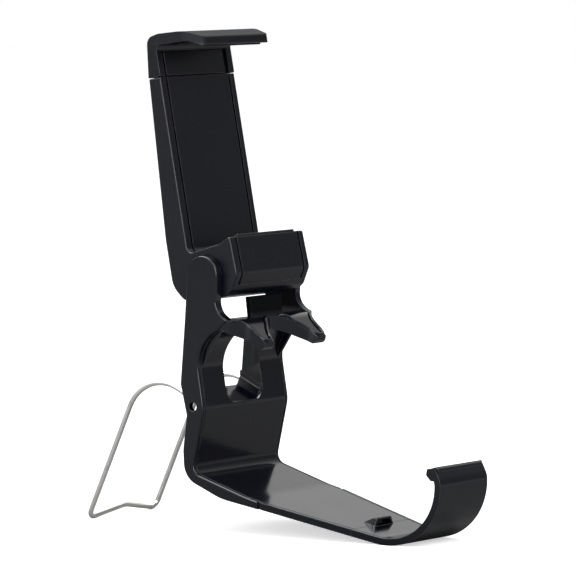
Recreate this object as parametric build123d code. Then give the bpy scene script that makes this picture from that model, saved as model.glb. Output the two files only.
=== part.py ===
from build123d import *
from math import cos, radians, sin, tan
import os

# Phone clip for a game controller, all sizes in millimetres.
# X runs across the width, Y from the hook back to the wire stand, Z up.
# The bracket is drawn about the wire's pivot, and the clamp about its hinge.

# Bracket moulding, across the width
BRACKET_WIDTH = 41.0
TOE_WIDTH = 23.4
WALL = 2.0
FLANGE_WALL = 1.8
EAR_WALL = 2.6
RIB_WALL = 1.7
WINDOW_WIDTH = 17.4
EDGE_ROUND = 0.5

# Bracket moulding, seen from the side
KNEE_DEPTH = 0.8
KNEE_SET = 3.9
FOOT_DEPTH = 19.0
FOOT_SET = -0.2
FOOT_RADIUS = 3.0
KNEE_RADIUS = 8.0
BROW_RADIUS = 11.2
HEEL_RADIUS = 40.0
HEEL_LENGTH = 19.2
HEEL_SLOPE = 16.8
PLATE_LENGTH = 78.2
PLATE_SLOPE = 12.4
HOOK_RADIUS = 15.5
HOOK_RISE = 4.62189
LIP_DEPTH = 3.6
LIP_CURL = 1.9
LIP_BEAD = 1.0
FLANGE_DEPTH = 4.4
RIM_DEPTH = 1.0
RIM_WIDTH = 0.9
RIM_GROOVE = 0.5
RIM_GROOVE_DEPTH = 0.3
TAPER_START = 23.0
TAPER_END = 66.0
TAPER_ROUND = 45.0
SHOULDER_ROUND = 3.0
PLAN_ROUND = 1.0
BEYOND = 60.0
NOTCH_WIDTH = 1.1
NOTCH_DEPTH = 1.0

# Window, fingers and tongue
WINDOW_SILL = 0.4
WINDOW_CHAMFER = 2.5
WINDOW_NARROWING = 1.8
FINGER_REACH = 21.6
FINGER_DROP = 8.4
FINGER_TIP = 3.9
FINGER_SPREAD = 12.6
FINGER_THICK = 4.2
BEAM_TOP = 25.3
BEAM_FRONT = 12.4
TONGUE_HEIGHT = 5.9
TONGUE_WALL = 1.5
TONGUE_WIDTH = 15.0
TROUGH_SIDE = 4.1
TROUGH_LEDGE = 0.9
TONGUE_LEAN = 0.9

# Tab on the plate
TAB_WIDTH = 6.8
TAB_FLARE = 1.4
TAB_HEIGHT = 2.3
TAB_RAMP = 5.0
TAB_WALL = 0.6
TAB_POCKET = 1.6
TAB_PLACE = 52.6

# Wire stand
WIRE = 1.5
WIRE_SET = 2.8
WIRE_RISE = 26.0
WIRE_LEG_SLOPE = 65.2
WIRE_SHOULDER = 23.2
WIRE_BEND = 13.2
WIRE_CORNER = 2.2
WIRE_KINK = 2.6
WIRE_FOOT_LIFT = 0.39
WIRE_TAIL = 0.3
SIDE_HOLE = 2.7
RUNNING_FIT = 0.05

# Hinge of the phone clamp
HINGE_SET = 3.6
HINGE_HEIGHT = 38.0
EAR_RADIUS = 5.4
HINGE_SCREW = 3.0
SCREW_HEAD = 5.4
SCREW_HEAD_HEIGHT = 1.6
NUT_FLATS = 5.5
NUT_HEIGHT = 1.7
NUT_FIT = 0.02
WASHER = 9.0
WASHER_WALL = 0.8
SIDE_GAP = 0.3

# Phone clamp, drawn upright about the hinge axis
CLAMP_LEAN = 11.0
ARM_LENGTH = 58.2
ARM_FACE = 6.3
ARM_BACK_FOOT = 13.7
ARM_BACK_SEAM = 10.7
SHELL = 1.3
SIDE_WALL = 2.3
GROOVE = 0.9
GROOVE_DEPTH = 0.8
ARM_ROUND = 0.5
BARREL_RADIUS = 6.4
BARREL_WALL = 2.0
JAW_FLOOR = 6.9
JAW_REACH = 9.7
LIP_HEIGHT = 9.4
JAW_UNDER = 4.6
LINER = 0.6
LINER_INSET = 1.0
LINER_CLEAR = 2.2
LINER_EDGE = 0.4
SEAT_GAP = 0.02

# Sliding upper jaw
SEAM_GAP = 0.25
UPPER_RISE = 12.3
UPPER_REACH = 9.5
UPPER_WALL = 2.8
UPPER_DROOP = 3.2
LIP_TAPER = 2.4
SLIDE_WALL = 1.0
SLIDE_GAP = 0.2
SLIDE_TRAVEL = 22.0
STOP_HEIGHT = 35.0
STOP_POST = 3.4
POST_GAP = 0.2
FACE_PLATE = 1.1
FACE_PLATE_END = 4.4

# Springs and cover screws
SPRING_COIL = 2.1
SPRING_WIRE = 0.4
SPRING_SIDE = 9.2
SPRING_FOOT = 13.0
SPRING_LENGTH = 12.0
SPRING_SLOT = 4.2
COVER_SCREW = 1.6
COVER_HEAD = 3.4
COVER_HEAD_HEIGHT = 1.0
COVER_SHANK = 4.0
COVER_RECESS = 2.0
RECESS_WIDTH = 0.45
RECESS_DEPTH = 0.6
OPEN_FROM = 40.0

# Places worked out from the sizes above
HALF = BRACKET_WIDTH / 2
INNER_HALF = HALF - EDGE_ROUND
KNEE = (-KNEE_SET, -KNEE_DEPTH)
FOOT = (-FOOT_SET, -FOOT_DEPTH)
BROW = (-0.6, 18.6)
BROW_START = (-9.0, 22.3)
HEEL = (FOOT[0] - HEEL_LENGTH, FOOT[1] - HEEL_LENGTH * tan(radians(HEEL_SLOPE)))
TOE_Y = FOOT[0] - PLATE_LENGTH
TOE = (TOE_Y, HEEL[1] - (HEEL[0] - TOE_Y) * tan(radians(PLATE_SLOPE)))
HOOK_TOP = TOE[1] + HOOK_RADIUS * tan(radians((90 + PLATE_SLOPE) / 2)) + HOOK_RISE
TABLE = (
    HEEL[1]
    - (HEEL[0] - TOE_Y - HOOK_RADIUS) * tan(radians(PLATE_SLOPE))
    + HOOK_RADIUS / cos(radians(PLATE_SLOPE))
    - HOOK_RADIUS
    - WALL
)
HINGE = (-HINGE_SET, HINGE_HEIGHT)
EAR_GAP = BRACKET_WIDTH - 2 * EAR_WALL
CLAMP_WIDTH = EAR_GAP - 2 * SIDE_GAP
INNER_WIDTH = CLAMP_WIDTH - 2 * SIDE_WALL
COVER_WIDTH = INNER_WIDTH - 2 * GROOVE
WIRE_SIDE = HALF - FLANGE_WALL - WIRE_SET


def side_face(*corners):
    """Face in the side view from corners given as Y, Z and corner radius."""
    points = [(y, z) for y, z, radius in corners]
    outline = FilletPolyline(*points, radius=[radius for y, z, radius in corners], close=True)
    return Plane.YZ * make_face(outline)


def slab(face, low, high):
    """Side-view face made solid between two places across the width."""
    return Pos(low, 0, 0) * extrude(face, high - low, dir=(1, 0, 0))


def block(x_low, x_high, y_low, y_high, z_low, z_high):
    """Box between six planes."""
    size = Box(x_high - x_low, y_high - y_low, z_high - z_low)
    return Pos((x_low + x_high) / 2, (y_low + y_high) / 2, (z_low + z_high) / 2) * size


def cross_rod(y, z, radius, low, high):
    """Round rod across the width."""
    return Pos((low + high) / 2, y, z) * Rot(0, 90, 0) * Cylinder(radius, high - low)


def both_sides(shape):
    """Shape together with its twin on the other side."""
    return shape + mirror(shape, Plane.YZ)


# Base bracket


def inner_line():
    """Line that faces the controller, from the brow over the window to the hook's lip."""
    curl = (TOE[0] + LIP_CURL, HOOK_TOP)
    points = [BROW_START, BROW, KNEE, FOOT, HEEL, TOE, (TOE[0], HOOK_TOP - LIP_DEPTH), curl]
    radii = [BROW_RADIUS, KNEE_RADIUS, FOOT_RADIUS, HEEL_RADIUS, HOOK_RADIUS, 3.0]
    return FilletPolyline(*points, radius=radii)


def brow_height(y):
    """Height of the wall's brow, where it curves forward under the beam."""
    slope = (BROW_START[1] - BROW[1]) / (BROW_START[0] - BROW[0])
    return BROW[1] + (y - BROW[0]) * slope


def band():
    """Wall, plate and hook as one band of even thickness, narrowed towards the hook."""
    strip = offset(inner_line(), WALL, side=Side.LEFT)
    solid = slab(Plane.YZ * make_face(strip), -HALF, HALF)
    rounded = block(INNER_HALF, HALF + 1, -TAPER_START, BEYOND, -BEYOND, BEYOND)
    return (solid & plate_plan(0)) - both_sides(rounded)


def flange_rear():
    """Corners of the cheek's rear and foot, from the ear down to the notch."""
    rim = WALL + RIM_DEPTH
    notch = plate_height(-TAPER_START)
    return [
        (FLANGE_DEPTH + 0.2, 6.2, 1.6),
        (FLANGE_DEPTH - 2.0, -2.6, 4.0),
        (FLANGE_DEPTH - 0.7, -12.6, 8.0),
        (FLANGE_DEPTH - 1.1, -FOOT_DEPTH - 1.7, 6.5),
        (HEEL[0] + 9.2, HEEL[1] + 1.9 - rim, 20.0),
        (-TAPER_START, notch - WALL - 0.3, 0),
        (-TAPER_START, notch, 0),
        (*HEEL, 20.0),
        (*FOOT, FOOT_RADIUS),
        (*KNEE, KNEE_RADIUS),
        (*BROW, BROW_RADIUS),
        (*BROW_START, 0),
    ]


def cheek():
    """One side of the bracket: hinge ear and stiffening flange, with a rounded outer edge."""
    front, back = HINGE[0] - EAR_RADIUS, HINGE[0] + EAR_RADIUS
    crown, dome = HINGE[1] + EAR_RADIUS, EAR_RADIUS - 0.01
    ear = [
        (-BEAM_FRONT, BEAM_TOP, 0),
        (front + 0.9, BEAM_TOP + 2.4, 5.0),
        (front, crown, dome),
        (back, crown, dome),
        (back + 1.2, BEAM_TOP, 20.0),
    ]
    side = slab(side_face(*ear, *flange_rear()), HALF - FLANGE_WALL, HALF)
    side = fillet(side.faces().sort_by(Axis.X)[-1].edges(), EDGE_ROUND)
    root = [(back + 2.0, BEAM_TOP - 14.0, 0.4), (back - 3.6, BEAM_TOP - 14.0, 0.4), (*BROW_START, 0)]
    return side + slab(side_face(*ear, *root), HALF - EAR_WALL, HALF - FLANGE_WALL)


def rib(low, high):
    """Inner rib behind the wall, which holds one end of the wire."""
    top = (HINGE[0] + EAR_RADIUS + 1.2, BEAM_TOP, 0.2)
    front = (BROW_START[0], BEAM_TOP, 0)
    shape = slab(side_face(*flange_rear(), front, top), low, high)
    return shape & block(0, HALF, -30, 30, -15.0, 19.5)


def fingers():
    """Two curved claws on one cross beam, which grip over the controller's edge."""
    tip_y = -FINGER_REACH
    tip_z = BEAM_TOP - FINGER_DROP
    profile = side_face(
        (-8.0, BEAM_TOP, 0.3),
        (-BEAM_FRONT - 1.2, BEAM_TOP, 6.0),
        (tip_y, tip_z + 2.2, 0.5),
        (tip_y + 0.3, tip_z + 0.9, 0.4),
        (tip_y + 1.3, tip_z, 0.3),
        (-14.0, BEAM_TOP - FINGER_THICK - 0.5, 8.0),
        (-9.8, brow_height(-9.8), 3.0),
        (BROW[0] - 3.6, brow_height(BROW[0] - 3.6), 0),
        (BROW[0] - 2.2, BROW[1] + 2.2, 0.8),
    )
    inner = FINGER_SPREAD - FINGER_TIP / 2
    outer = FINGER_SPREAD + FINGER_TIP / 2
    outer_edge = [
        (INNER_HALF, 0),
        (INNER_HALF, -BEAM_FRONT),
        (outer + 1.0, -BEAM_FRONT - 3.4),
        (outer, tip_y - 1.0),
    ]
    inner_edge = [
        (inner + 0.2, tip_y - 1.0),
        (inner - 1.0, -19.4),
        (3.4, -BEAM_FRONT - 1.0),
        (0, -BEAM_FRONT + 0.1),
    ]
    half = outer_edge + inner_edge
    points = half + [(-x, y) for x, y in reversed(half[:-1])]
    radii = [0.2, 0.3, 4.0, 0.8, 0.6, 6.0, 6.0]
    plan = FilletPolyline(*points, radius=radii + [2.5] + radii[::-1], close=True)
    return slab(profile, -INNER_HALF, INNER_HALF) & extrude(make_face(plan), 60)


def wire_stop():
    """Cable trough behind the window's sill, with a stop for the wire at each side."""
    slope = tan(radians(WIRE_RISE))
    lift = (WIRE / 2 + RUNNING_FIT) / cos(radians(WIRE_RISE))
    front, back = KNEE[0] + WALL / 2, FLANGE_DEPTH
    side = WINDOW_WIDTH / 2
    top = WINDOW_SILL + TROUGH_SIDE
    rise = (back - front) * slope
    wedge = side_face(
        (front, top, 0),
        (back, top + rise, 0),
        (back, WINDOW_SILL + rise - WALL, 0),
        (front, WINDOW_SILL - WALL, 0),
    )
    ledge = side - TROUGH_LEDGE
    low = side - WINDOW_CHAMFER
    points = [(ledge, top + 20), (ledge, WINDOW_SILL + WINDOW_CHAMFER), (low, WINDOW_SILL)]
    points = points + [(-x, z) for x, z in reversed(points)]
    section = Plane.XZ * make_face(FilletPolyline(*points, radius=[0.1, 1, 1, 1, 1, 0.1], close=True))
    section = Pos(0, front - 1.0, -slope) * section
    trough = extrude(section, 14, dir=(0, cos(radians(WIRE_RISE)), sin(radians(WIRE_RISE))))
    stop = side_face(
        (front, top, 0),
        (back, top + rise, 0),
        (back, back * slope + lift, 0),
        (0.4, 0.4 * slope + lift, 0),
        (front, 0.2, 0),
    )
    return slab(wedge, -side, side) - trough + both_sides(slab(stop, side, HALF - FLANGE_WALL / 2))


def tongue():
    """Upright tongue on the beam, below the clamp's barrel."""
    front = -BEAM_FRONT + 0.9
    face = side_face(
        (front, BEAM_TOP - 1.5, 0),
        (front + TONGUE_LEAN, BEAM_TOP + TONGUE_HEIGHT, 0.4),
        (front + TONGUE_LEAN + TONGUE_WALL, BEAM_TOP + TONGUE_HEIGHT, 0.4),
        (front + TONGUE_WALL, BEAM_TOP - 1.5, 0),
    )
    return slab(face, -TONGUE_WIDTH / 2, TONGUE_WIDTH / 2)


def plate_height(y):
    """Height of the plate's top at a place along it."""
    return HEEL[1] - (HEEL[0] - y) * tan(radians(PLATE_SLOPE))


def plate_tab():
    """Hooded tab on the plate, its open face towards the hook."""
    front = -TAB_PLACE
    foot = plate_height(front)
    crown = foot + TAB_HEIGHT
    side = side_face(
        (front, foot - 0.5, 0),
        (front, crown, 0.2),
        (front + 1.2, crown, 1.2),
        (front + TAB_RAMP, plate_height(front + TAB_RAMP) - 0.5, 0),
    )
    hood = slab(side, -TAB_WIDTH, TAB_WIDTH) & tab_section(TAB_WIDTH / 2, foot, crown, front)
    hollow = tab_section(TAB_WIDTH / 2 - TAB_WALL, foot + 0.1, crown - TAB_WALL, front)
    return hood - (hollow & block(-HALF, HALF, front - 1, front + TAB_POCKET, foot + 0.1, crown))


def tab_section(half, foot, crown, front):
    """Bar along the plate with the tab's flared section."""
    base = half + TAB_FLARE
    points = [(-half, crown), (half, crown), (base, foot - 0.6), (-base, foot - 0.6)]
    section = Plane.XZ * make_face(FilletPolyline(*points, radius=[0.4, 0.4, 0.1, 0.1], close=True))
    return Pos(0, front - 2, 0) * extrude(section, TAB_RAMP + 4, dir=(0, 1, 0))


def lip_bead():
    """Rounded bead inside the hook's curled lip."""
    y, z = TOE[0] + LIP_CURL, HOOK_TOP
    face = side_face(
        (y - 2.3, z - 0.5, 0.5),
        (y - 1.4, z + 0.5, 0.5),
        (y + LIP_BEAD - 0.4, z + 0.4, 0.5),
        (y + LIP_BEAD, z - 1.4, 0.6),
        (y - 0.6, z - 3.0, 0.4),
        (y - 1.8, z - 3.0, 0.1),
        (y - 2.3, z - 1.5, 0.5),
    )
    toe = TOE_WIDTH / 2
    return slab(face, -toe, toe)


def plate_plan(inset):
    """Plan of the plate, narrowed towards the hook, less an inset."""
    half, toe = HALF - inset, TOE_WIDTH / 2 - inset
    near = [(half, 20), (half, -TAPER_START), (toe, -TAPER_END), (toe, TOE[0] - 20)]
    points = near + [(-x, y) for x, y in reversed(near)]
    rounds = [PLAN_ROUND, SHOULDER_ROUND, TAPER_ROUND, PLAN_ROUND]
    plan = FilletPolyline(*points, radius=rounds + rounds[::-1], close=True)
    return Pos(0, 0, TABLE - 20) * extrude(make_face(plan), 120)


def rim_groove():
    """Shallow groove just inside both edges, which leaves a narrow rim along them."""
    strip = offset(inner_line(), RIM_GROOVE_DEPTH, side=Side.LEFT)
    layer = slab(Plane.YZ * make_face(strip), -HALF, HALF)
    return layer & plate_plan(RIM_WIDTH) - plate_plan(RIM_WIDTH + RIM_GROOVE)


def window():
    """Cable window through the wall, with cut lower corners."""
    side = WINDOW_WIDTH / 2
    top = BROW_START[1]
    half = [
        (side - WINDOW_NARROWING, top),
        (side, BROW[1] - 8.0),
        (side, WINDOW_SILL + WINDOW_CHAMFER),
        (side - WINDOW_CHAMFER, WINDOW_SILL),
    ]
    points = half + [(-x, z) for x, z in reversed(half)]
    outline = FilletPolyline(*points, radius=[1, 12, 1, 1, 1, 1, 12, 1], close=True)
    face = Plane.XZ * make_face(outline)
    return Pos(0, -10.0, 0) * extrude(face, 20, dir=(0, 1, 0))


def base_bracket():
    """The whole moulding."""
    rib_low = WINDOW_WIDTH / 2
    body = band() + both_sides(cheek()) - rim_groove()
    body = body + fingers() - window() + both_sides(rib(rib_low, rib_low + RIB_WALL))
    body += wire_stop() + tongue() + plate_tab() + lip_bead()
    nick = block(HALF - NOTCH_DEPTH, HALF + 1, -NOTCH_WIDTH, 0, -BEYOND, 0)
    body -= both_sides(Pos(0, -TAPER_START + 0.2, 0) * nick)
    body -= both_sides(cross_rod(0, 0, SIDE_HOLE / 2, HALF - 5, HALF + 1))
    bore = WIRE / 2 + RUNNING_FIT
    body -= both_sides(cross_rod(0, 0, bore, rib_low - 1, rib_low + RIB_WALL + 1))
    body -= cross_rod(*HINGE, HINGE_SCREW / 2 + RUNNING_FIT, -HALF + 1.0, HALF + 1)
    body -= cross_rod(*HINGE, SCREW_HEAD / 2 + 0.1, HALF - SCREW_HEAD_HEIGHT, HALF + 1)
    pocket = Rot(0, 90, 0) * extrude(RegularPolygon(NUT_FLATS / 2 + NUT_FIT, 6, False), 5)
    body -= Pos(-HALF + EAR_WALL - NUT_HEIGHT, *HINGE) * pocket
    return body


def wire_stand():
    """Kickstand, one wire with its ends turned in to the ribs."""
    rise, leg = radians(WIRE_RISE), radians(WIRE_LEG_SLOPE)
    shoulder = (WIRE_SHOULDER * cos(rise), WIRE_SHOULDER * sin(rise))
    floor = TABLE + WIRE / 2 - WIRE_FOOT_LIFT
    drop = shoulder[1] - floor
    foot = (shoulder[0] + drop / tan(leg), floor)
    kink = (foot[0] - WIRE_KINK / tan(leg), foot[1] + WIRE_KINK)
    tail = WINDOW_WIDTH / 2 - WIRE_TAIL
    half = [
        (tail, 0, 0),
        (WIRE_SIDE, 0, 0),
        (WIRE_SIDE, *shoulder),
        (WIRE_SIDE, *foot),
    ]
    points = half + [(0, *kink)] + [(-x, y, z) for x, y, z in reversed(half)]
    radii = [1.6, WIRE_BEND, WIRE_CORNER]
    path = FilletPolyline(*points, radius=radii + [6.0] + radii[::-1])
    start = Plane(origin=path @ 0, z_dir=path % 0)
    return sweep(start * Circle(WIRE / 2), path=path, transition=Transition.RIGHT)


def hinge_screw():
    """Hinge screw with its pan head let into the right ear."""
    end = -HALF + EAR_WALL - NUT_HEIGHT + 0.2
    shank = cross_rod(*HINGE, HINGE_SCREW / 2, end, HALF - SCREW_HEAD_HEIGHT)
    head = cross_rod(*HINGE, SCREW_HEAD / 2, HALF - SCREW_HEAD_HEIGHT, HALF - 0.1)
    head = fillet(head.edges().group_by(Axis.X)[-1], 0.5)
    slot = 1.0
    cross = block(HALF - 1.1, HALF, -slot * 1.5, slot * 1.5, -0.3, 0.3)
    cross += block(HALF - 1.1, HALF, -0.3, 0.3, -slot * 1.5, slot * 1.5)
    return shank + head - Pos(0, *HINGE) * cross


def hinge_nut():
    """Nut held in the left ear."""
    nut = extrude(RegularPolygon(NUT_FLATS / 2, 6, False), NUT_HEIGHT)
    nut -= Cylinder(HINGE_SCREW / 2, 10)
    return Pos(-HALF + EAR_WALL - NUT_HEIGHT, *HINGE) * Rot(0, 90, 0) * nut


# Phone clamp, drawn upright about the hinge axis and leaned back at the end


def back_of_arm(a):
    """Depth of the arm's back at a height along it."""
    share = (a - 12.0) / (ARM_LENGTH - 12.0)
    return ARM_BACK_FOOT + (ARM_BACK_SEAM - ARM_BACK_FOOT) * share


def clamp_outline():
    """Side view of arm and lower jaw together."""
    reach = JAW_REACH
    return side_face(
        (ARM_FACE, ARM_LENGTH, 0.05),
        (ARM_FACE, JAW_FLOOR, 1.6),
        (-5.2, JAW_FLOOR + 1.1, 6.0),
        (-reach + 1.0, LIP_HEIGHT, 0.35),
        (-reach + 0.2, LIP_HEIGHT - 0.2, 0.4),
        (-reach - 0.3, -1.4, 2.6),
        (-reach + 2.6, -BARREL_RADIUS + 0.6, 1.8),
        (-4.8, -BARREL_RADIUS - 0.8, 3.0),
        (2.0, -BARREL_RADIUS - 0.8, 5.0),
        (ARM_BACK_FOOT - 3.6, -BARREL_RADIUS - 0.2, 4.6),
        (ARM_BACK_FOOT, -1.6, 7.0),
        (ARM_BACK_FOOT, 12.0, 6.0),
        (ARM_BACK_SEAM, ARM_LENGTH, 0.05),
    )


def cover_zone(margin):
    """Part of the side view that belongs to the front cover."""
    edge = ARM_FACE + SHELL + margin
    return side_face(
        (edge, ARM_LENGTH + 5, 0),
        (-20, ARM_LENGTH + 5, 0),
        (-20, -JAW_UNDER + 0.2 - margin, 0),
        (-6.0, -JAW_UNDER + 0.2 - margin, 0),
        (-6.0, 4.0, 0),
        (edge, 4.0, 0),
    )


def clamp_core():
    """Hollow of the clamp in side view."""
    outline = clamp_outline()
    return offset(outline, -SHELL, kind=Kind.INTERSECTION)


def clamp_body():
    """Rear shell with side walls, barrel and the posts' seats."""
    half, inner = CLAMP_WIDTH / 2, INNER_WIDTH / 2
    hollow = clamp_core() + (clamp_outline() & cover_zone(0))
    body = slab(clamp_outline(), -half, half)
    cheeks = body.faces().sort_by(Axis.X)
    body = fillet(cheeks[0].edges() + cheeks[-1].edges(), ARM_ROUND) - slab(hollow, -inner, inner)
    body -= block(-inner, inner, ARM_FACE, back_of_arm(ARM_LENGTH) - SHELL, OPEN_FROM, ARM_LENGTH + 1)
    barrel = cross_rod(0, 0, HINGE_SCREW / 2 + BARREL_WALL, -inner, inner)
    below = slab(clamp_core() & side_face((-30, 3.0, 0), (3, 3.0, 0), (3, -30, 0), (-30, -30, 0)), 0, SHELL)
    body += barrel + Pos(5.5, 0, 0) * below + Pos(-5.5 - SHELL, 0, 0) * below
    body -= cross_rod(0, 0, HINGE_SCREW / 2 + RUNNING_FIT, -HALF, HALF)
    washer = WASHER / 2 + 0.2
    depth = WASHER_WALL - SIDE_GAP + RUNNING_FIT
    body -= cross_rod(0, 0, washer, half - depth, HALF)
    body -= cross_rod(0, 0, washer, -HALF, -half + depth)
    for x, a in screw_places():
        seat = back_of_arm(a)
        body -= Pos(x, seat, a) * Rot(90, 0, 0) * Cylinder(COVER_SCREW / 2 + 0.1, 8)
        body -= Pos(x, seat - COVER_HEAD_HEIGHT / 2 + 0.6, a) * Rot(90, 0, 0) * Cylinder(
            COVER_HEAD / 2 + 0.15, COVER_HEAD_HEIGHT
        )
    return body


def screw_places():
    """Across and height of each cover screw."""
    return [(-SPRING_SIDE, SPRING_FOOT), (SPRING_SIDE, SPRING_FOOT), (0, STOP_HEIGHT)]


def front_cover():
    """J-shaped cover: phone rest, jaw floor and jaw face, with posts for its screws."""
    half = COVER_WIDTH / 2
    skin = (clamp_outline() - clamp_core()) & cover_zone(-0.05)
    under = (offset(clamp_outline(), -GROOVE_DEPTH) - clamp_core()) & cover_zone(-0.05)
    wide = INNER_WIDTH / 2 - RUNNING_FIT
    cover = slab(skin, -half, half) + slab(under, -wide, wide)
    for x, a in screw_places():
        reach = back_of_arm(a) - SHELL - (ARM_FACE + SHELL) - POST_GAP
        post = Pos(x, ARM_FACE + SHELL + reach / 2 - 0.1, a) * Rot(90, 0, 0)
        cover += post * Cylinder(STOP_POST / 2, reach + 0.2)
        cover -= post * Cylinder(COVER_SCREW / 2, reach + 0.25)
    return cover


def cover_screws():
    """Three screws, as one group of separate solids."""
    screws = []
    for x, a in screw_places():
        seat = back_of_arm(a) + 0.1
        head = Cylinder(COVER_HEAD / 2, COVER_HEAD_HEIGHT - 0.1)
        head = fillet(head.edges().group_by(Axis.Z)[-1], 0.3)
        recess = Box(COVER_RECESS, RECESS_WIDTH, RECESS_DEPTH) + Box(RECESS_WIDTH, COVER_RECESS, RECESS_DEPTH)
        head -= Pos(0, 0, RECESS_DEPTH / 2 + 0.05) * recess
        shank = Pos(0, 0, -COVER_SHANK / 2 - 0.2) * Cylinder(COVER_SCREW / 2 - 0.02, COVER_SHANK)
        screws.append(Pos(x, seat, a) * Rot(-90, 0, 0) * (head + shank))
    return Compound(screws)


def lower_jaw_pad():
    """Liner laid in the lower jaw and over its front edge."""
    half = COVER_WIDTH / 2 - LINER_INSET
    outline = clamp_outline()
    liner = offset(outline, LINER) - offset(outline, SEAT_GAP)
    back, front = ARM_FACE - LINER_CLEAR, -JAW_REACH + LINER_EDGE
    floor = JAW_FLOOR - LINER
    zone = side_face((back, floor, 0), (back, floor + 8, 0), (front, floor + 8, 0), (front, floor, 0))
    return slab(liner & zone, -half, half)


def friction_washer(side):
    """Washer between barrel and ear."""
    place = CLAMP_WIDTH / 2 + SIDE_GAP - RUNNING_FIT - WASHER_WALL / 2
    ring = Cylinder(WASHER / 2, WASHER_WALL) - Cylinder(HINGE_SCREW / 2 + 0.1, WASHER_WALL)
    return Pos(side * place, 0, 0) * Rot(0, 90, 0) * ring


# Sliding jaw


def upper_jaw():
    """Jaw that slides along the arm, with its slide plate."""
    half = CLAMP_WIDTH / 2
    low = ARM_LENGTH + SEAM_GAP
    top = ARM_LENGTH + UPPER_RISE
    under = top - UPPER_WALL
    face = side_face(
        (ARM_FACE, low, 0.05),
        (ARM_FACE, under - 0.3, 1.6),
        (-4.6, under - 0.9, 8.0),
        (-UPPER_REACH + 0.8, under - UPPER_DROOP + 0.2, 0.3),
        (-UPPER_REACH, under - UPPER_DROOP + 0.4, 0.6),
        (-UPPER_REACH - 0.1, top - UPPER_DROOP - 0.2, 0.8),
        (-3.6, top - 0.7, 10.0),
        (5.0, top, 6.0),
        (ARM_BACK_SEAM - 1.6, top - 0.6, 2.6),
        (back_of_arm(low), low, 0.05),
    )
    jaw = slab(face, -half, half) & lip_plan()
    pocket_end = half - FACE_PLATE_END
    jaw -= block(-INNER_WIDTH / 2, INNER_WIDTH / 2, 0, ARM_FACE + FACE_PLATE, low - 1, under - 2.0)
    front = ARM_FACE + SHELL + SLIDE_GAP
    side = INNER_WIDTH / 2 - SLIDE_GAP
    foot = SPRING_FOOT - 3.2
    plate = block(-side, side, front, front + SLIDE_WALL, foot, low + 3.0)
    slot_top = STOP_HEIGHT + STOP_POST / 2 + 0.3
    slot_low = STOP_HEIGHT - SLIDE_TRAVEL - STOP_POST / 2 - 0.3
    slot = STOP_POST / 2 + 0.3
    plate -= block(-slot, slot, 0, 20, slot_low, slot_top)
    spring_top = SPRING_FOOT + SPRING_LENGTH
    gap = SPRING_SLOT / 2
    plate -= both_sides(block(SPRING_SIDE - gap, SPRING_SIDE + gap, 0, 20, foot - 1, spring_top))
    return jaw + plate


def lip_plan():
    """Plan of the upper lip, narrowed and rounded towards its front."""
    half, front = CLAMP_WIDTH / 2, CLAMP_WIDTH / 2 - LIP_TAPER
    near = [(half, 20), (half, -3.6), (front, -UPPER_REACH - 0.1)]
    points = near + [(-x, y) for x, y in reversed(near)]
    plan = FilletPolyline(*points, radius=[1, 6.0, 1.8, 1.8, 6.0, 1], close=True)
    return extrude(make_face(plan), 100)


def upper_jaw_plate():
    """Inset face plate of the sliding jaw, short of the right side."""
    low = ARM_LENGTH + SEAM_GAP
    under = ARM_LENGTH + UPPER_RISE - UPPER_WALL
    left = -COVER_WIDTH / 2
    right = CLAMP_WIDTH / 2 - FACE_PLATE_END
    return block(left, right, ARM_FACE, ARM_FACE + FACE_PLATE - 0.02, low + 0.1, under - 2.2)


def upper_jaw_pad():
    """Liner under the upper lip."""
    half = CLAMP_WIDTH / 2 - LIP_TAPER - LINER_CLEAR
    under = ARM_LENGTH + UPPER_RISE - UPPER_WALL
    face = side_face(
        (3.2, under - 0.53, 0.2),
        (-4.6, under - 0.95, 8.0),
        (-UPPER_REACH + 1.4, under - UPPER_DROOP + 0.3, 0.2),
        (-UPPER_REACH + 1.3, under - UPPER_DROOP + 0.3 - LINER, 0.2),
        (-4.6, under - 0.95 - LINER, 8.0),
        (3.2, under - 0.53 - LINER, 0.2),
    )
    return slab(face, -half, half)


def jaw_spring(side):
    """Extension spring from a cover post up to the slide plate."""
    radius = (SPRING_COIL - SPRING_WIRE) / 2
    low = SPRING_FOOT + STOP_POST / 2 + 0.3
    high = SPRING_FOOT + SPRING_LENGTH - 0.3
    depth = ARM_FACE + SHELL + SLIDE_GAP + SLIDE_WALL / 2 + 0.5
    tube = Cylinder(SPRING_COIL / 2, high - low) - Cylinder(radius - SPRING_WIRE / 2, high - low)
    return Pos(side * SPRING_SIDE, depth, (low + high) / 2) * tube


def leaned(shape):
    """Clamp piece leaned back and set on its hinge."""
    return Pos(0, *HINGE) * Rot(-CLAMP_LEAN, 0, 0) * shape


pieces = {
    "base_bracket": base_bracket(),
    "wire_stand": wire_stand(),
    "hinge_screw": hinge_screw(),
    "hinge_nut": hinge_nut(),
    "clamp_body": leaned(clamp_body()),
    "front_cover": leaned(front_cover()),
    "cover_screws": leaned(cover_screws()),
    "lower_jaw_pad": leaned(lower_jaw_pad()),
    "friction_washer_left": leaned(friction_washer(-1)),
    "friction_washer_right": leaned(friction_washer(1)),
    "upper_jaw": leaned(upper_jaw()),
    "upper_jaw_plate": leaned(upper_jaw_plate()),
    "upper_jaw_pad": leaned(upper_jaw_pad()),
    "jaw_spring_left": leaned(jaw_spring(-1)),
    "jaw_spring_right": leaned(jaw_spring(1)),
}

# The origin moves to the middle of the footprint, on the table
box = Compound(list(pieces.values())).bounding_box()
shift = Vector(0, -(box.min.Y + box.max.Y) / 2, -box.min.Z)
os.makedirs("parts", exist_ok=True)
for name, shape in pieces.items():
    export_step(Pos(shift) * shape, f"parts/{name}.step")
print("wire pivot", shift.X, shift.Y, shift.Z)
print("hinge", shift.X, shift.Y + HINGE[0], shift.Z + HINGE[1])
print("size", box.size)
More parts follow.
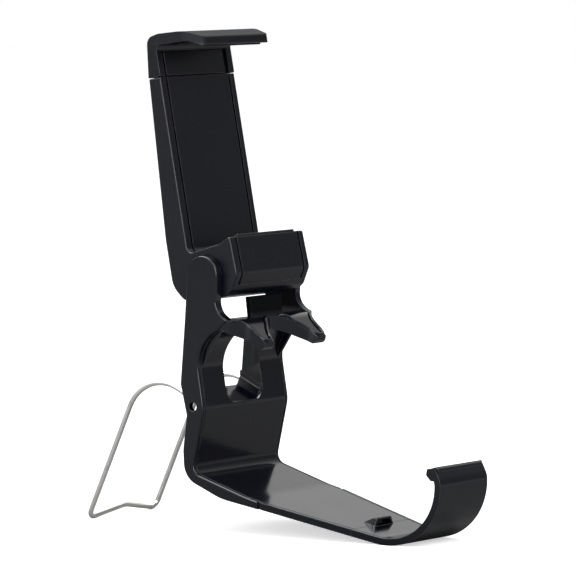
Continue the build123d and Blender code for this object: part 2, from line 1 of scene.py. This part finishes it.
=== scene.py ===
import bpy
from math import cos, radians, sin
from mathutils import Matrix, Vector


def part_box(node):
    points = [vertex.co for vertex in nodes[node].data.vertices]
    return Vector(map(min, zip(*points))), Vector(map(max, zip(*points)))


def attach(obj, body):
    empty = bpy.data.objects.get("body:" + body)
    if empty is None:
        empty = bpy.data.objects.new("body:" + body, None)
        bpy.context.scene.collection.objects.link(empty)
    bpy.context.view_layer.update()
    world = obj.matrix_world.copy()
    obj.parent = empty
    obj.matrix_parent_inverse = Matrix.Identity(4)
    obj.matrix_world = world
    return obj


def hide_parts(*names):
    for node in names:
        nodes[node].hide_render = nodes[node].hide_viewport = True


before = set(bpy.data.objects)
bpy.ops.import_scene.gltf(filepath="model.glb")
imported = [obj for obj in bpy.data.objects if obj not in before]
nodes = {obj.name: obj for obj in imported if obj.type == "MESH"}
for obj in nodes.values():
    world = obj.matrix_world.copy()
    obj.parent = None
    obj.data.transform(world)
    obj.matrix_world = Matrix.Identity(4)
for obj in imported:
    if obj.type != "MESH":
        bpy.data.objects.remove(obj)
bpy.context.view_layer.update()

# Table, backdrop, lamps and camera.
# A white table under soft studio lamps, seen from the front left and a little above.

MM = 0.001
WHITE = (1, 1, 1, 1)


class Signal:
    """One value inside a finish, so that its maths is written as plain arithmetic."""

    def __init__(self, tree, socket=None):
        self.tree = tree
        self.socket = socket

    def node(self, kind, settings=None, sockets=None, out=0):
        made = self.tree.nodes.new(kind)
        for name, value in (settings or {}).items():
            setattr(made, name, value)
        for key, value in (sockets or {}).items():
            if isinstance(value, Signal):
                self.tree.links.new(value.socket, made.inputs[key])
            else:
                made.inputs[key].default_value = value
        return Signal(self.tree, made.outputs[out])

    def maths(self, operation, first, second):
        return self.node("ShaderNodeMath", {"operation": operation}, {0: first, 1: second})

    def __add__(self, other):
        return self.maths("ADD", self, other)

    def __radd__(self, other):
        return self.maths("ADD", other, self)

    def __sub__(self, other):
        return self.maths("SUBTRACT", self, other)

    def __rsub__(self, other):
        return self.maths("SUBTRACT", other, self)

    def __mul__(self, other):
        return self.maths("MULTIPLY", self, other)

    def __rmul__(self, other):
        return self.maths("MULTIPLY", other, self)


def new_finish(name):
    """A bare material, and the signal that its nodes are made from."""
    finish = bpy.data.materials.new(name)
    finish.use_nodes = True
    finish.node_tree.nodes.clear()
    return finish, Signal(finish.node_tree)


def close_finish(start, shader):
    """Joins the shader to the material's output."""
    output = start.tree.nodes.new("ShaderNodeOutputMaterial")
    start.tree.links.new(shader.socket, output.inputs["Surface"])


def seen_directly(start):
    """Three signals: a ray straight from the camera, one in a reflection, one through a clear piece."""
    kinds = ("Camera", "Glossy", "Transmission")
    return [start.node("ShaderNodeLightPath", out=f"Is {kind} Ray") for kind in kinds]


TABLE_SIZE = 6.0
CLOTH_TONE = 0.82
TABLE_GLOW = 0.55
MIRRORED_GLOW = 0.05
MIRRORED_LOSS = 0.45
SHADED_LOSS = 0.25
SHADED_MIDDLE = (0.13, -0.03, 0.0)
SHADED_FROM, SHADED_TO = 0.08, 0.40
bpy.ops.object.select_all(action="DESELECT")
bpy.ops.mesh.primitive_plane_add(size=TABLE_SIZE, location=(0, 0, 0))
table = bpy.context.object
table.name = "white_table"
finish, start = new_finish("white table")
straight, mirrored, through = seen_directly(start)
# In reflections the table is greyer than the bare background, most of all where the object shades it.
place = start.node("ShaderNodeTexCoord", out="Object")
away = start.node(
    "ShaderNodeVectorMath", {"operation": "DISTANCE"}, {0: place, 1: SHADED_MIDDLE}, out="Value"
)
shaded = start.node(
    "ShaderNodeMapRange",
    {"interpolation_type": "SMOOTHSTEP"},
    {"Value": away, "From Min": SHADED_FROM, "From Max": SHADED_TO, "To Min": 1.0, "To Max": 0.0},
)
tone = CLOTH_TONE * (1 - mirrored * (MIRRORED_LOSS + SHADED_LOSS * shaded))
cloth = start.node("ShaderNodeBsdfDiffuse", None, {"Color": tone, "Roughness": 1.0})
seen = TABLE_GLOW * (straight + through) + MIRRORED_GLOW * mirrored
glow = start.node("ShaderNodeEmission", None, {"Color": WHITE, "Strength": seen})
close_finish(start, start.node("ShaderNodeAddShader", None, {0: cloth, 1: glow}))
table.data.materials.append(finish)

BACKDROP_WAY = (-0.5, 0.8, 0.25)
BACKDROP_FROM, BACKDROP_TO = -0.85, 0.15
DIM_SIDE = 0.2
LOW_SKY, HIGH_SKY = 0.17, 0.33
LOW_SHARE, HIGH_SHARE = 0.1, 0.8
ROOM_LIGHT = 0.6
# Each panel's direction, how narrow it is and how bright
EDGE_PANELS = (((-0.93, -0.36, 0.1), 0.94, 7.0), ((-0.14, 0.44, 0.89), 0.90, 10.0))
PANEL_FADE = 0.04
world = bpy.data.worlds.new("white studio")
bpy.context.scene.world = world
world.use_nodes = True
world.node_tree.nodes.clear()
start = Signal(world.node_tree)
straight, mirrored, through = seen_directly(start)
way = start.node("ShaderNodeTexCoord", out="Generated")
# In reflections the studio is brightest behind the object, and dim behind the camera and near the table.
toward_backdrop = start.node(
    "ShaderNodeVectorMath", {"operation": "DOT_PRODUCT"}, {0: way, 1: BACKDROP_WAY}, out=1
)
backdrop = start.node(
    "ShaderNodeMapRange",
    {"interpolation_type": "SMOOTHSTEP"},
    {"Value": toward_backdrop, "From Min": BACKDROP_FROM, "From Max": BACKDROP_TO},
)
height = start.node("ShaderNodeSeparateXYZ", None, {"Vector": way}, out="Z")
above = start.node(
    "ShaderNodeMapRange",
    {"interpolation_type": "SMOOTHSTEP"},
    {
        "Value": height,
        "From Min": LOW_SKY,
        "From Max": HIGH_SKY,
        "To Min": LOW_SHARE,
        "To Max": HIGH_SHARE,
    },
)
backdrop = DIM_SIDE + backdrop * above
# Two small bright panels, which only rounded edges mirror: one beside the camera and one high behind.
for panel, edge, strength in EDGE_PANELS:
    facing = start.node("ShaderNodeVectorMath", {"operation": "DOT_PRODUCT"}, {0: way, 1: panel}, out=1)
    backdrop = backdrop + start.node(
        "ShaderNodeMapRange",
        {"interpolation_type": "SMOOTHSTEP"},
        {"Value": facing, "From Min": edge, "From Max": edge + PANEL_FADE, "To Max": strength},
    )
room = ROOM_LIGHT * (1 - start.maths("MINIMUM", straight + mirrored + through, 1.0))
light = room + straight + through + mirrored * backdrop
glow = start.node("ShaderNodeBackground", None, {"Color": WHITE, "Strength": light})
output = start.tree.nodes.new("ShaderNodeOutputWorld")
start.tree.links.new(glow.socket, output.inputs["Surface"])


def soft_lamp(name, place, aim, size, power):
    """Square softbox at a place, turned to what it lights."""
    lamp = bpy.data.lights.new(name, "AREA")
    lamp.shape = "SQUARE"
    lamp.size = size
    lamp.energy = power
    box = bpy.data.objects.new(name, lamp)
    bpy.context.collection.objects.link(box)
    box.location = place
    box.rotation_euler = (Vector(place) - Vector(aim)).to_track_quat("Z", "Y").to_euler()


MIDDLE = (0, 0, 0.07)
soft_lamp("key_softbox", (-0.35, -0.75, 0.85), MIDDLE, size=0.7, power=5.0)
soft_lamp("side_softbox", (-0.95, 0.25, 0.45), MIDDLE, size=0.6, power=3.0)
soft_lamp("top_softbox", (0.15, 0.25, 1.1), MIDDLE, size=0.9, power=6.0)

CAMERA_TURN = radians(-53.6)
CAMERA_RISE = radians(4.6)
CAMERA_DISTANCE = 1.43
CAMERA_FOCUS = 5000.0
IMAGE_SIZE = 576
SENSOR = 36.0
right = Vector((cos(CAMERA_TURN), sin(CAMERA_TURN), 0))
back = Vector(
    (sin(CAMERA_TURN) * cos(CAMERA_RISE), -cos(CAMERA_TURN) * cos(CAMERA_RISE), sin(CAMERA_RISE))
)
# The near end of the wire's pivot and where it lies in the picture
PIVOT_END = Vector((-20.5, 18.708, 35.991)) * MM
PIVOT_PIXEL = (192.7, 406.7)
across = (IMAGE_SIZE / 2 - PIVOT_PIXEL[0]) / CAMERA_FOCUS * CAMERA_DISTANCE
upward = (PIVOT_PIXEL[1] - IMAGE_SIZE / 2) / CAMERA_FOCUS * CAMERA_DISTANCE
aim = PIVOT_END + right * across + back.cross(right) * upward
camera_lens = bpy.data.cameras.new("camera")
camera_lens.sensor_width = SENSOR
camera_lens.lens = CAMERA_FOCUS / IMAGE_SIZE * SENSOR
camera_lens.clip_start = 0.01
camera = bpy.data.objects.new("camera", camera_lens)
bpy.context.collection.objects.link(camera)
camera.location = aim + back * CAMERA_DISTANCE
camera.rotation_euler = back.to_track_quat("Z", "Y").to_euler()
scene = bpy.context.scene
scene.camera = camera
scene.view_settings.view_transform = "Standard"

# Base bracket, one moulding in polished black plastic.
# The mould's polish leaves faint waves, and handling leaves fine scratches. Edges are painted paler, partly
# from rubbing and partly as painted highlight, and pockets get painted shade.

EDGE_LIGHT = 0.3 * MM
EDGE_FLAT, EDGE_SHARP = 0.995, 0.85
PATCH_SCALE = 420.0
PATCH_LOW, PATCH_HIGH = 0.25, 0.6
# Paler colour of edges, standing for rubbing and for painted highlight
RUBBED_AND_HIGHLIT = (0.07, 0.072, 0.078)
RUBBED_ROUGH = 0.12
CLOUD_SCALE = 90.0
CLOUD_DARK = 0.75
WAVE_SCALE = 230.0
HAIR_SCALE = 620.0
HAIR_STRETCH = (5.0, 0.6, 0.8)
HAIR_TURN = (0.3, 0.1, 0.35)
HAIR_LOW, HAIR_HIGH = 0.6, 0.72
HAIR_DEPTH = 0.15
HAIR_ROUGH = 0.5
MOULD_LINE = 0.15 * MM
MOULD_LINE_DEPTH = 0.4
SHADE_REACH = 8 * MM
SHADE_OPEN, SHADE_CLOSED = 0.65, 0.2
POCKET_SHADE = 0.8
ZONE_FADE = 1.2 * MM
NO_ZONE = (0.0, 0.0, 0.0, 0.0)
# Flat dark colour of painted shade, laid over pockets and over a zone
PAINTED_SHADE_BLACK = (0.0024, 0.0026, 0.0032)


def edge_wear_and_highlight(start, place, amount):
    """Mask of edges paled partly by rubbing and partly by painted highlight, broken up as handling leaves
    it, and the rounded normal beside it.
    """
    rounded = start.node("ShaderNodeBevel", {"samples": 6}, {"Radius": EDGE_LIGHT})
    flat = start.node("ShaderNodeNewGeometry", out="Normal")
    match = start.node("ShaderNodeVectorMath", {"operation": "DOT_PRODUCT"}, {0: rounded, 1: flat}, out=1)
    sharp = start.node(
        "ShaderNodeMapRange", None, {"Value": match, "From Min": EDGE_FLAT, "From Max": EDGE_SHARP}
    )
    patchy = start.node("ShaderNodeTexNoise", None, {"Vector": place, "Scale": PATCH_SCALE, "Detail": 4.0})
    broken = start.node(
        "ShaderNodeMapRange", None, {"Value": patchy, "From Min": PATCH_LOW, "From Max": PATCH_HIGH}
    )
    return sharp * broken * amount, rounded


def pocket_shade_mask(start, amount):
    """Mask of pockets, roots and seams, which get painted shade."""
    open_share = start.node(
        "ShaderNodeAmbientOcclusion",
        {"samples": 8, "only_local": False},
        {"Distance": SHADE_REACH},
        out="AO",
    )
    return start.node(
        "ShaderNodeMapRange",
        None,
        {"Value": open_share, "From Min": SHADE_OPEN, "From Max": SHADE_CLOSED, "To Max": amount},
    )


def moulded(name, shade, ior, rough, spread, grain, grain_depth, wave_depth, wear_and_highlight, line=None, zone=NO_ZONE):
    """Injection-moulded plastic or rubber with edges painted paler by rubbing and painted highlight, fine
    grain, mould waves and painted shade in pockets.

    A zone is its foot's height, its half width, the roughness that it adds and its share of painted shade.
    """
    zone_foot, zone_half, roughened, painted_shade_share = zone
    finish, start = new_finish(name)
    place = start.node("ShaderNodeTexCoord", out="Object")
    worn_and_highlit, rounded = edge_wear_and_highlight(start, place, wear_and_highlight)
    clouds = start.node("ShaderNodeTexNoise", None, {"Vector": place, "Scale": CLOUD_SCALE, "Detail": 3.0})
    waves = start.node("ShaderNodeTexNoise", None, {"Vector": place, "Scale": WAVE_SCALE, "Detail": 1.0})
    grains = start.node("ShaderNodeTexNoise", None, {"Vector": place, "Scale": grain, "Detail": 2.0})
    along = start.node(
        "ShaderNodeMapping", None, {"Vector": place, "Scale": HAIR_STRETCH, "Rotation": HAIR_TURN}
    )
    hairs = start.node(
        "ShaderNodeTexNoise", None, {"Vector": along, "Scale": HAIR_SCALE, "Detail": 5.0, "Roughness": 0.75}
    )
    scratches = start.node(
        "ShaderNodeMapRange", None, {"Value": hairs, "From Min": HAIR_LOW, "From Max": HAIR_HIGH}
    )
    height = waves * wave_depth + grains * grain_depth - scratches * (HAIR_DEPTH * wave_depth)
    axes = {axis: start.node("ShaderNodeSeparateXYZ", None, {"Vector": place}, out=axis) for axis in "XYZ"}
    if line is not None:
        nearness = start.maths("ABSOLUTE", axes["Y"] - line, 0.0)
        height = height + start.maths("MINIMUM", nearness, MOULD_LINE) * MOULD_LINE_DEPTH
    bump = start.node(
        "ShaderNodeBump", None, {"Height": height, "Distance": 1.0, "Strength": 1.0, "Normal": rounded}
    )
    dark = tuple(value * CLOUD_DARK for value in shade) + (1,)
    light = (*shade, 1)
    rubbed_highlight_colour = (*RUBBED_AND_HIGHLIT, 1)
    mottled = start.node("ShaderNodeMix", {"data_type": "RGBA"}, {0: clouds, 6: dark, 7: light}, out=2)
    # Edges painted paler, partly from rubbing and partly as painted highlight
    colour = start.node("ShaderNodeMix", {"data_type": "RGBA"}, {0: worn_and_highlit, 6: mottled, 7: rubbed_highlight_colour}, out=2)
    inside = start.maths("LESS_THAN", start.maths("ABSOLUTE", axes["X"], 0.0), zone_half)
    inside = inside * start.node(
        "ShaderNodeMapRange",
        None,
        {"Value": axes["Z"], "From Min": zone_foot, "From Max": zone_foot + ZONE_FADE},
    )
    polish = rough + inside * roughened + (clouds - 0.5) * spread + scratches * (HAIR_ROUGH * spread)
    polish = polish + worn_and_highlit * RUBBED_ROUGH
    shader = start.node(
        "ShaderNodeBsdfPrincipled",
        None,
        {"Base Color": colour, "Roughness": polish, "Normal": bump, "IOR": ior},
    )
    # Painted shade: a flat dark layer over pockets, roots, seams and the zone
    painted_shade = start.maths("MAXIMUM", pocket_shade_mask(start, POCKET_SHADE), inside * painted_shade_share)
    painted_shade_layer = start.node("ShaderNodeBsdfDiffuse", None, {"Color": (*PAINTED_SHADE_BLACK, 1), "Roughness": 1.0})
    close_finish(start, start.node("ShaderNodeMixShader", None, {0: painted_shade, 1: shader, 2: painted_shade_layer}))
    return finish


def dress(node, finish):
    """Gives a CAD piece its finish."""
    for slot in nodes[node].material_slots:
        slot.material = finish


bracket_black = moulded(
    "polished black plastic",
    (0.0034, 0.0044, 0.0086),
    ior=1.43,
    rough=0.15,
    spread=0.10,
    grain=9000.0,
    grain_depth=0.3e-6,
    wave_depth=6e-6,
    wear_and_highlight=0.9,
    line=-33 * MM,
    # Above the beam's top and between the ears, the tongue is rougher and gets painted shade
    zone=(61.6 * MM, 17.95 * MM, 0.2, 0.8),
)
dress("base_bracket", bracket_black)

# Raised rims round the tops of the two fingers, moulded with the bracket.
# Each runs out along one edge, round the tip and back, and curls down over the beam's front.

ORIGIN = Vector((0, 18.708, 35.991)) * MM
BEAM_TOP = 25.3
BEND_START, BEND_RADIUS = -11.55, 6.0
SLOPE_START, SLOPE = -15.22, 0.775
SLOPE_FOOT = -13.6
RIM_RADIUS = 0.6
RIM_PLAN = [
    (19.1, -12.5),
    (17.3, -13.8),
    (16.5, -14.4),
    (15.35, -15.7),
    (14.8, -17.3),
    (14.35, -20.2),
    (13.8, -20.95),
    (12.5, -21.1),
    (11.3, -20.95),
    (10.7, -20.4),
    (9.98, -19.2),
    (6.9, -16.0),
    (3.6, -13.1),
]
RIM_CURL = (2.9, -12.6, 24.0)
RIM_LIFT = 0.05
BEAD_STEPS = 6
BEAD_ROUND = 3
MERGE = 1e-6
SMOOTH_ANGLE = radians(60)


def finger_top(reach):
    """Height of the fingers' top face, above the wire's pivot."""
    if reach > BEND_START:
        return BEAM_TOP
    if reach > SLOPE_START:
        return BEAM_TOP - BEND_RADIUS + (BEND_RADIUS**2 - (reach - BEND_START) ** 2) ** 0.5
    return BEAM_TOP - (SLOPE_FOOT - reach) * SLOPE


def swept_bead(name, points, radius):
    """Round bead along a smooth path, closed at both ends."""
    bpy.ops.object.select_all(action="DESELECT")
    bpy.ops.curve.primitive_bezier_curve_add()
    bead = bpy.context.object
    bead.name = name
    bpy.ops.object.mode_set(mode="EDIT")
    bpy.ops.curve.select_all(action="SELECT")
    bpy.ops.curve.delete(type="VERT")
    for point in points:
        bpy.ops.curve.vertex_add(location=point)
    bpy.ops.curve.select_all(action="SELECT")
    bpy.ops.curve.handle_type_set(type="AUTOMATIC")
    bpy.ops.object.mode_set(mode="OBJECT")
    bead.data.dimensions = "3D"
    bead.data.resolution_u = BEAD_STEPS
    bead.data.bevel_depth = radius
    bead.data.bevel_resolution = BEAD_ROUND
    bead.data.use_fill_caps = True
    bpy.ops.object.convert(target="MESH")
    bpy.ops.object.transform_apply()
    bpy.ops.object.mode_set(mode="EDIT")
    bpy.ops.mesh.select_all(action="SELECT")
    bpy.ops.mesh.remove_doubles(threshold=MERGE)
    bpy.ops.mesh.normals_make_consistent(inside=False)
    bpy.ops.object.mode_set(mode="OBJECT")
    bpy.ops.object.shade_smooth_by_angle(angle=SMOOTH_ANGLE)
    return bead


for side, name in ((-1, "finger_rim_left"), (1, "finger_rim_right")):
    path = [(x, y, finger_top(y) + RIM_LIFT) for x, y in RIM_PLAN] + [RIM_CURL]
    points = [ORIGIN + Vector((side * x, y, z)) * MM for x, y, z in path]
    rim = swept_bead(name, points, RIM_RADIUS * MM)
    rim.data.materials.append(bracket_black)
    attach(rim, "base")

# Rolled rim along the hook's lip, moulded with the bracket.
# It stiffens the edge that catches the controller, and shows as one long soft light.

LIP_MIDDLE = Vector((0, -59.27, 21.97)) * MM
LIP_ROLL = 0.95 * MM
LIP_HALF = 11.0 * MM
ROLL_ROUND = 0.4 * MM
ends = [LIP_MIDDLE + Vector((share * LIP_HALF, 0, 0)) for share in (-1, -0.5, 0, 0.5, 1)]
lip_roll = swept_bead("hook_lip_roll", ends, LIP_ROLL)
rounding = lip_roll.modifiers.new("rounding", "BEVEL")
rounding.width = ROLL_ROUND
rounding.segments = 3
rounding.limit_method = "ANGLE"
rounding.angle_limit = SMOOTH_ANGLE
bpy.ops.object.modifier_apply(modifier=rounding.name)
bpy.ops.object.shade_smooth_by_angle(angle=SMOOTH_ANGLE)
lip_roll.data.materials.append(bracket_black)
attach(lip_roll, "base")

# Phone clamp shells, moulded in the same black with a duller, finer-grained surface.
# The rear shell, the front cover and the sliding jaw come from one mould set.

clamp_black = moulded(
    "satin black plastic",
    (0.0040, 0.0050, 0.0094),
    ior=1.43,
    rough=0.29,
    spread=0.08,
    grain=9000.0,
    grain_depth=0.35e-6,
    wave_depth=3e-6,
    wear_and_highlight=0.9,
    # Above 139 mm the lip's top is rougher and partly covered by painted shade
    zone=(139 * MM, 30 * MM, 0.32, 0.35),
)
for node in ("clamp_body", "front_cover", "upper_jaw", "upper_jaw_plate"):
    dress(node, clamp_black)

# Wire stand, bent from drawn stainless wire.
# Drawing leaves fine lines along the wire and a slightly cloudy polish.

CLOUDY_SCALE = 300.0
CLOUDY_DARK = 0.85
CLOUDY_SPREAD = 0.2
DRAWN_SCALE = 1500.0
DRAWN_STRETCH = (8.0, 1.0, 1.0)


def steel(name, shade, rough, line_depth):
    """Plated or drawn steel with fine lines and slightly cloudy polish."""
    finish, start = new_finish(name)
    place = start.node("ShaderNodeTexCoord", out="Object")
    clouds = start.node("ShaderNodeTexNoise", None, {"Vector": place, "Scale": CLOUDY_SCALE, "Detail": 3.0})
    along = start.node("ShaderNodeMapping", None, {"Vector": place, "Scale": DRAWN_STRETCH})
    lines = start.node("ShaderNodeTexNoise", None, {"Vector": along, "Scale": DRAWN_SCALE, "Detail": 3.0})
    bump = start.node("ShaderNodeBump", None, {"Height": lines, "Distance": line_depth, "Strength": 1.0})
    dark = tuple(value * CLOUDY_DARK for value in shade) + (1,)
    light = (*shade, 1)
    colour = start.node("ShaderNodeMix", {"data_type": "RGBA"}, {0: clouds, 6: dark, 7: light}, out=2)
    polish = rough + (clouds - 0.5) * CLOUDY_SPREAD
    shader = start.node(
        "ShaderNodeBsdfPrincipled",
        None,
        {"Base Color": colour, "Metallic": 1.0, "Roughness": polish, "Normal": bump},
    )
    close_finish(start, shader)
    return finish


wire_steel = steel("drawn stainless wire", (0.92, 0.91, 0.89), rough=0.32, line_depth=2e-6)
dress("wire_stand", wire_steel)

# Hinge screw, its nut and the three cover screws, of bright zinc-plated steel.
# The heads' recesses and the nut's flats are in the solids.

zinc_steel = steel("zinc-plated steel", (0.52, 0.53, 0.55), rough=0.28, line_depth=1e-6)
for node in ("hinge_screw", "hinge_nut", "cover_screws"):
    dress(node, zinc_steel)

# Soft liners in both jaws, moulded in black rubber with low ribs across the phone's edge.
# Each is glued into its jaw. It starts as a copy of its plain solid, and the ribs are raised on it.

rubber = moulded(
    "black rubber",
    (0.012, 0.012, 0.013),
    ior=1.4,
    rough=0.55,
    spread=0.14,
    grain=5000.0,
    grain_depth=2e-6,
    wave_depth=2e-6,
    wear_and_highlight=0.3,
)
RIB_PITCH = 1.1 * MM
RIB_HEIGHT = 0.16 * MM
RIB_ROUND = 0.05 * MM
LINER_MARGIN = 1.2 * MM
GRIP_SIDE = 0.6
LINER_FLAT = radians(1)
LINER_ROUNDED = radians(40)
LINER_SMOOTH = radians(35)


def ribbed_liner(node, name, upward):
    """Copy of a liner's solid with ribs on its gripping side."""
    liner = nodes[node].copy()
    liner.data = nodes[node].data.copy()
    liner.name = name
    bpy.context.collection.objects.link(liner)
    bpy.ops.object.select_all(action="DESELECT")
    liner.select_set(True)
    bpy.context.view_layer.objects.active = liner
    low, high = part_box(node)
    bpy.ops.object.mode_set(mode="EDIT")
    bpy.ops.mesh.select_all(action="SELECT")
    bpy.ops.mesh.remove_doubles(threshold=MERGE)
    bpy.ops.mesh.dissolve_limited(angle_limit=LINER_FLAT)
    ribs = int((high[1] - low[1] - 2 * LINER_MARGIN) / RIB_PITCH)
    first = (low[1] + high[1] - ribs * RIB_PITCH) / 2
    for step in range(ribs + 1):
        for edge in (first + step * RIB_PITCH, first + (step + 0.5) * RIB_PITCH):
            bpy.ops.mesh.select_all(action="SELECT")
            bpy.ops.mesh.bisect(plane_co=(0, edge, 0), plane_no=(0, 1, 0))
    for side in (-1, 1):
        place = side * (high[0] - LINER_MARGIN)
        bpy.ops.mesh.select_all(action="SELECT")
        bpy.ops.mesh.bisect(plane_co=(place, 0, 0), plane_no=(1, 0, 0))
    bpy.ops.mesh.select_all(action="DESELECT")
    bpy.ops.object.mode_set(mode="OBJECT")
    for face in liner.data.polygons:
        share = (face.center.y - first) / RIB_PITCH
        inside = 0 < share < ribs and abs(face.center.x) < high[0] - LINER_MARGIN
        face.select = inside and share % 1 < 0.5 and face.normal.z * upward > GRIP_SIDE
    bpy.ops.object.mode_set(mode="EDIT")
    bpy.ops.mesh.select_mode(type="FACE")
    bpy.ops.mesh.extrude_region_shrink_fatten(
        TRANSFORM_OT_shrink_fatten={"value": RIB_HEIGHT, "use_even_offset": True}
    )
    bpy.ops.object.mode_set(mode="OBJECT")
    rounding = liner.modifiers.new("rounding", "BEVEL")
    rounding.width = RIB_ROUND
    rounding.segments = 2
    rounding.limit_method = "ANGLE"
    rounding.angle_limit = LINER_ROUNDED
    bpy.ops.object.modifier_apply(modifier=rounding.name)
    bpy.ops.object.shade_smooth_by_angle(angle=LINER_SMOOTH)
    liner.data.materials.clear()
    liner.data.materials.append(rubber)
    return liner


lower_liner = ribbed_liner("lower_jaw_pad", "lower_jaw_ribbed_liner", 1)
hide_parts("lower_jaw_pad")
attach(lower_liner, "clamp")
upper_liner = ribbed_liner("upper_jaw_pad", "upper_jaw_ribbed_liner", -1)
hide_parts("upper_jaw_pad")
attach(upper_liner, "jaw")

# Friction washers, of white nylon, one each side of the clamp's barrel.
# They hold the clamp's tilt, and keep it from rattling between the ears.

nylon = moulded(
    "white nylon",
    (0.62, 0.61, 0.57),
    ior=1.5,
    rough=0.4,
    spread=0.1,
    grain=6000.0,
    grain_depth=1e-6,
    wave_depth=1e-6,
    wear_and_highlight=0.0,
)
dress("friction_washer_left", nylon)
dress("friction_washer_right", nylon)

# Jaw springs, close-wound extension springs that pull the sliding jaw down.
# Each is a coil of fine spring wire, between a post of the cover and the jaw's slide plate.

SPRING_WIRE = 0.4 * MM
SPRING_COIL = 2.1 * MM
WIRE_SIDES = 8
COIL_STEPS = 14
COIL_GAP = 1.04
CLAMP_LEAN = radians(11.0)
spring_steel = steel("spring steel", (0.40, 0.40, 0.41), rough=0.3, line_depth=1e-6)


def coil_spring(node, name):
    """Helix of round wire, turned onto the solid's axis."""
    low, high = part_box(node)
    middle = (Vector(low) + Vector(high)) / 2
    radius = (SPRING_COIL - SPRING_WIRE) / 2
    length = (high[2] - low[2] - SPRING_COIL * sin(CLAMP_LEAN)) / cos(CLAMP_LEAN) - SPRING_WIRE
    turns = int(length / (SPRING_WIRE * COIL_GAP))
    bpy.ops.object.select_all(action="DESELECT")
    bpy.ops.mesh.primitive_circle_add(
        vertices=WIRE_SIDES, radius=SPRING_WIRE / 2, location=(radius, 0, 0), rotation=(radians(90), 0, 0)
    )
    spring = bpy.context.object
    spring.name = name
    bpy.ops.object.transform_apply()
    winding = spring.modifiers.new("winding", "SCREW")
    winding.screw_offset = length / turns
    winding.iterations = turns
    winding.steps = winding.render_steps = COIL_STEPS
    winding.use_merge_vertices = True
    winding.merge_threshold = MERGE
    bpy.ops.object.modifier_apply(modifier=winding.name)
    bpy.ops.object.mode_set(mode="EDIT")
    bpy.ops.mesh.select_all(action="SELECT")
    bpy.ops.mesh.remove_doubles(threshold=MERGE)
    bpy.ops.mesh.fill_holes(sides=WIRE_SIDES)
    bpy.ops.mesh.normals_make_consistent(inside=False)
    bpy.ops.object.mode_set(mode="OBJECT")
    bpy.ops.object.shade_smooth_by_angle(angle=SMOOTH_ANGLE)
    spring.rotation_euler = (-CLAMP_LEAN, 0, 0)
    spring.location = middle - Vector((0, sin(CLAMP_LEAN), cos(CLAMP_LEAN))) * (length / 2)
    bpy.ops.object.transform_apply()
    spring.data.materials.append(spring_steel)
    return spring


for side in ("left", "right"):
    spring = coil_spring(f"jaw_spring_{side}", f"jaw_coil_spring_{side}")
    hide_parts(f"jaw_spring_{side}")
    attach(spring, "clamp")
